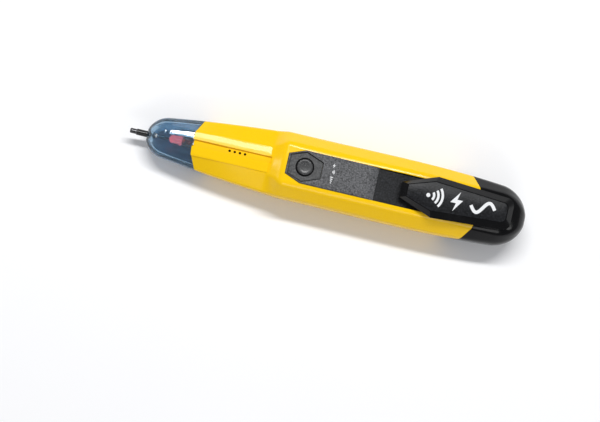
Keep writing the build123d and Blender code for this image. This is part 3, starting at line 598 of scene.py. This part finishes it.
led_mesh = bmesh.new()
corners = [led_mesh.verts.new((x, 0, led_axis_z + radius)) for x, radius in led_outline()]
profile = [led_mesh.edges.new(pair) for pair in zip(corners, corners[1:])]
bmesh.ops.spin(
    led_mesh,
    geom=corners + profile,
    cent=(0, 0, led_axis_z),
    axis=(1, 0, 0),
    angle=math.radians(360),
    steps=40,
    use_merge=True,
)
led_body = make_piece("led_body", led_mesh, "case", glowing_red_epoxy)
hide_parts("indicator_led")

frame_mesh = bmesh.new()
for side, reach, height in ((-1, 2.9 * MM, 1.1 * MM), (1, 2.5 * MM, 0.5 * MM)):
    post = bmesh.ops.create_cube(frame_mesh, size=1)["verts"]
    bmesh.ops.scale(frame_mesh, verts=post, vec=(reach, 0.5 * MM, height))
    at = (led_high.x - 0.2 * MM - reach / 2, side * 0.62 * MM, led_axis_z)
    bmesh.ops.translate(frame_mesh, verts=post, vec=at)
cup = bmesh.ops.create_cone(
    frame_mesh, cap_ends=True, segments=24, radius1=0.5 * MM, radius2=0.62 * MM, depth=0.6 * MM
)["verts"]
bmesh.ops.rotate(frame_mesh, verts=cup, cent=(0, 0, 0), matrix=Matrix.Rotation(math.radians(-90), 3, "Y"))
bmesh.ops.translate(
    frame_mesh, verts=cup, vec=(led_high.x - 3.2 * MM, -0.42 * MM, led_axis_z)
)
bmesh.ops.bevel(
    frame_mesh,
    geom=list(frame_mesh.edges),
    affect="EDGES",
    offset=0.05 * MM,
    segments=1,
    profile=0.5,
    material=-1,
)
make_piece("led_frame", frame_mesh, "case", tinned_wire)

# %% [markdown]
# The button has the usual sign for power moulded on its dished top: an open ring and a bar. The ring
# is a small round section spun through most of a circle, and the bar is a rounded block.

# %% Power sign on the button
button_low, button_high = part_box("power_button")
button_middle = Vector(((button_low.x + button_high.x) / 2, 0, button_high.z))
SIGN_RADIUS = 1.3 * MM
SIGN_THICKNESS = 0.34 * MM
DISH_AT_SIGN = 0.12 * MM  # how far the dish is below the button's rim where the sign is
sign_z = button_middle.z - DISH_AT_SIGN

sign_mesh = bmesh.new()
section = bmesh.ops.create_circle(sign_mesh, cap_ends=True, segments=10, radius=SIGN_THICKNESS / 2)["verts"]
bmesh.ops.rotate(sign_mesh, verts=section, cent=(0, 0, 0), matrix=Matrix.Rotation(math.radians(90), 3, "Y"))
gap = math.radians(38)
start = Matrix.Rotation(gap, 3, "Z") @ Vector((0, SIGN_RADIUS, 0))
bmesh.ops.rotate(sign_mesh, verts=section, cent=(0, 0, 0), matrix=Matrix.Rotation(gap, 3, "Z"))
bmesh.ops.translate(sign_mesh, verts=section, vec=(button_middle.x + start.x, start.y, sign_z))
bmesh.ops.spin(
    sign_mesh,
    geom=list(sign_mesh.faces),
    cent=(button_middle.x, 0, sign_z),
    axis=(0, 0, 1),
    angle=math.radians(360) - 2 * gap,
    steps=36,
)
bar = bmesh.ops.create_cube(sign_mesh, size=1)["verts"]
bmesh.ops.scale(sign_mesh, verts=bar, vec=(SIGN_THICKNESS, 1.25 * MM, SIGN_THICKNESS * 0.8))
bmesh.ops.translate(
    sign_mesh, verts=bar, vec=(button_middle.x, SIGN_RADIUS * 0.75, sign_z - 0.02 * MM)
)
make_piece("power_sign", sign_mesh, "button", bezel_grey)

# %% [markdown]
# The clip's flat top is a textured field inside a smooth rim. The field is a thin plate that drops
# into the clip's shallow recess. Its outline is the clip's own: narrow at the tip, widest a quarter of
# the way along and narrower again at the rounded rear.

# %% Clip field
clip_low, clip_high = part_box("pocket_clip")
FIELD_GAP = 0.33 * MM  # the plate's edge inside the bevel's
FIELD_TOP = clip_high.z - 0.06 * MM
field_points = [
    (clip_low.x + 2.0 * MM + FIELD_GAP, 2.5 * MM - 0.6 * FIELD_GAP),
    (clip_low.x + 12.5 * MM, 6.0 * MM - FIELD_GAP),
    (clip_high.x - 2.4 * MM - FIELD_GAP, 4.0 * MM - FIELD_GAP),
]
field_points += [(x, -y) for x, y in reversed(field_points)]

field_mesh = bmesh.new()
field_face = outline_face(field_mesh, field_points, clip_high.z - 0.15 * MM)
rear_corners = sorted(field_face.verts, key=lambda corner: corner.co.x)[-2:]
bmesh.ops.bevel(
    field_mesh,
    geom=rear_corners,
    affect="VERTICES",
    offset=1.95 * MM,
    segments=10,
    profile=0.5,
    material=-1,
)
field_mesh.faces.ensure_lookup_table()
top = raise_face(field_mesh, field_mesh.faces[0], 0.09 * MM)
bevel_rim(field_mesh, top, 0.04 * MM)
make_piece("clip_field", field_mesh, "clip", field_black)

# %% [markdown]
# The marks are printed in white: plain signs for what the tester does, with no lettering. On the clip
# are the waves it senses, a flash and a wave of alternating current. Each is a thin slab. The flash
# is an outline that is raised, each sensing wave is a short edge spun into an arc, and the
# alternating wave is a strip of grid squares, each pushed sideways by a sine.


# %% Printed signs
def flash(mesh, x, y, size, z, thickness):
    """A lightning flash, size tall along Y."""
    shape = [(0.12, 0.5), (-0.3, -0.08), (-0.02, -0.08), (-0.12, -0.5), (0.3, 0.1), (0.02, 0.1)]
    raise_face(mesh, outline_face(mesh, [(x + px * size, y + py * size) for px, py in shape], z), thickness)


def arc_strip(mesh, x, y, radius, width, half_angle, z, thickness):
    """A flat strip bent into an arc about (x, y)."""
    ends = [mesh.verts.new((x + radius + offset, y, z)) for offset in (-width / 2, width / 2)]
    edge = mesh.edges.new(ends)
    bmesh.ops.rotate(
        mesh, verts=ends, cent=(x, y, z), matrix=Matrix.Rotation(-half_angle, 3, "Z")
    )
    known = set(mesh.faces)
    bmesh.ops.spin(mesh, geom=[edge], cent=(x, y, z), axis=(0, 0, 1), angle=2 * half_angle, steps=14)
    strip = [face for face in mesh.faces if face not in known]
    made = bmesh.ops.extrude_face_region(mesh, geom=strip)["geom"]
    corners = [item for item in made if isinstance(item, bmesh.types.BMVert)]
    bmesh.ops.translate(mesh, verts=corners, vec=(0, 0, thickness))


def sine_strip(mesh, x, y, length, height, width, z, thickness):
    """A flat strip that follows one wave of a sine along X."""
    strip = bmesh.ops.create_grid(mesh, x_segments=40, y_segments=1, size=0.5)["verts"]
    for corner in strip:
        share = corner.co.x
        slope = 2 * math.pi * (height / 2) * math.cos(2 * math.pi * share) / length
        sideways = math.copysign(width / 2, corner.co.y)
        lean = math.hypot(1, slope)
        corner.co = (
            x + share * length - sideways * slope / lean,
            y + height / 2 * math.sin(2 * math.pi * share) + sideways / lean,
            z,
        )
    faces = list({face for corner in strip for face in corner.link_faces})
    made = bmesh.ops.extrude_face_region(mesh, geom=faces)["geom"]
    corners = [item for item in made if isinstance(item, bmesh.types.BMVert)]
    bmesh.ops.translate(mesh, verts=corners, vec=(0, 0, thickness))


INK = 0.05 * MM
sign_mesh = bmesh.new()
ink_z = FIELD_TOP - 0.01 * MM
source_x = clip_low.x + 10.6 * MM
dot = bmesh.ops.create_circle(sign_mesh, cap_ends=True, segments=24, radius=0.8 * MM)["verts"]
bmesh.ops.translate(sign_mesh, verts=dot, vec=(source_x, 0, ink_z))
raise_face(sign_mesh, dot[0].link_faces[0], INK)
for radius in (2.3, 4.0, 5.7):
    arc_strip(sign_mesh, source_x, 0, radius * MM, 0.95 * MM, math.radians(38), ink_z, INK)
flash(sign_mesh, clip_low.x + 22.0 * MM, 0, 8.0 * MM, ink_z, INK)
sine_strip(sign_mesh, clip_low.x + 32.6 * MM, 0, 9.6 * MM, 4.6 * MM, 1.3 * MM, ink_z, INK)
make_piece("clip_signs", sign_mesh, "clip", white_print)

# %% [markdown]
# Two thin black lines are painted shadow round the button: a ring for the shade in the gap round the button
# itself, and a six-cornered line for the shade along the rim of its plate. Each starts as a flat face. An
# inset cuts the line off its rim, the middle is deleted, and what is left is raised by a hair.


# %% Painted shadow lines round the button
def frame_line(mesh, face, width, thickness):
    """Turns a flat face into a raised line along its rim."""
    bmesh.ops.inset_region(
        mesh, faces=[face], thickness=width, use_even_offset=True, use_boundary=True
    )
    line = {rim for corner in face.verts for rim in corner.link_faces if rim is not face}
    bmesh.ops.delete(mesh, geom=[face], context="FACES_ONLY")
    made = bmesh.ops.extrude_face_region(mesh, geom=list(line))["geom"]
    corners = [item for item in made if isinstance(item, bmesh.types.BMVert)]
    bmesh.ops.translate(mesh, verts=corners, vec=(0, 0, thickness))


bezel_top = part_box("button_bezel")[1].z
PLATE_CORNERS = [(-6.1, 3.6), (-0.3, 5.7), (6.6, 3.1), (6.6, -3.1), (-0.3, -5.7), (-6.1, -3.6)]
shadow_line_mesh = bmesh.new()
rim = [(button_middle.x + 0.92 * x * MM, 0.92 * y * MM) for x, y in PLATE_CORNERS]
frame_line(shadow_line_mesh, outline_face(shadow_line_mesh, rim, bezel_top - 0.01 * MM), 0.5 * MM, 0.03 * MM)
line_low = Vector((button_middle.x, 0, bezel_top - 0.01 * MM))
disc = bmesh.ops.create_circle(shadow_line_mesh, cap_ends=True, segments=64, radius=3.7 * MM)["verts"]
bmesh.ops.translate(shadow_line_mesh, verts=disc, vec=line_low)
frame_line(shadow_line_mesh, disc[0].link_faces[0], 0.45 * MM, 0.03 * MM)
# These black lines are painted shadow in the grooves round the button and along its plate.
make_piece("button_shadow_lines", shadow_line_mesh, "case", gloss_black)

# %% [markdown]
# On the panel behind the button is a small line of the same signs, turned across the case.

# %% Panel signs
panel_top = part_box("button_panel")[1].z
panel_mark_x = button_middle.x + 11.0 * MM
mark_z = panel_top - 0.01 * MM
panel_mesh = bmesh.new()
flash(panel_mesh, panel_mark_x, 3.1 * MM, 1.9 * MM, mark_z, INK * 0.6)
for reach in (0.5, 0.85, 1.2):
    arc_strip(
        panel_mesh,
        panel_mark_x - 0.5 * MM,
        0.6 * MM,
        reach * MM,
        0.22 * MM,
        math.radians(40),
        mark_z,
        INK * 0.6,
    )
for step in range(4):
    bar = bmesh.ops.create_cube(panel_mesh, size=1)["verts"]
    bmesh.ops.scale(panel_mesh, verts=bar, vec=(1.1 * MM - 0.2 * MM * step, 0.34 * MM, INK))
    at = (panel_mark_x, -1.5 * MM - 0.75 * MM * step, mark_z)
    bmesh.ops.translate(panel_mesh, verts=bar, vec=at)
make_piece("panel_signs", panel_mesh, "case", white_print)

# %% [markdown]
# The label on the back carries printed lines where a maker's ratings would be. They are plain dark
# bars: a row of cubes, scaled flat and set just proud of the label's film.

# %% Label print
label_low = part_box("back_label")[0]
print_mesh = bmesh.new()
for row, length in enumerate((30.0, 24.0, 27.0, 18.0)):
    bar = bmesh.ops.create_cube(print_mesh, size=1)["verts"]
    bmesh.ops.scale(print_mesh, verts=bar, vec=(length * MM, 0.9 * MM, INK))
    start_x = label_low.x + 12.0 * MM + length * MM / 2
    bmesh.ops.translate(print_mesh, verts=bar, vec=(start_x, (3.6 - 2.4 * row) * MM, label_low.z))
flash(print_mesh, label_low.x + 6.0 * MM, 0, 7.0 * MM, label_low.z - INK / 2, INK)
make_piece("label_print", print_mesh, "case", component_black)

# %% [markdown]
# A table of plain, pale laminate sets the tester off without drawing the eye.

# %% Floor finish
pale, pale_tree, pale_shader = new_material("pale_table")
table_place = add_node(pale_tree, "ShaderNodeTexCoord").outputs["Object"]
table_cloud = ramp(pale_tree, noise(pale_tree, table_place, 3.0), 0.3, 0.7)
pale_tree.links.new(
    mix_colour(pale_tree, table_cloud, (0.95, 0.95, 0.95), (0.93, 0.93, 0.94)),
    pale_shader.inputs["Base Color"],
)
set_inputs(pale_shader, {"Roughness": 0.6})
dress(floor, pale)
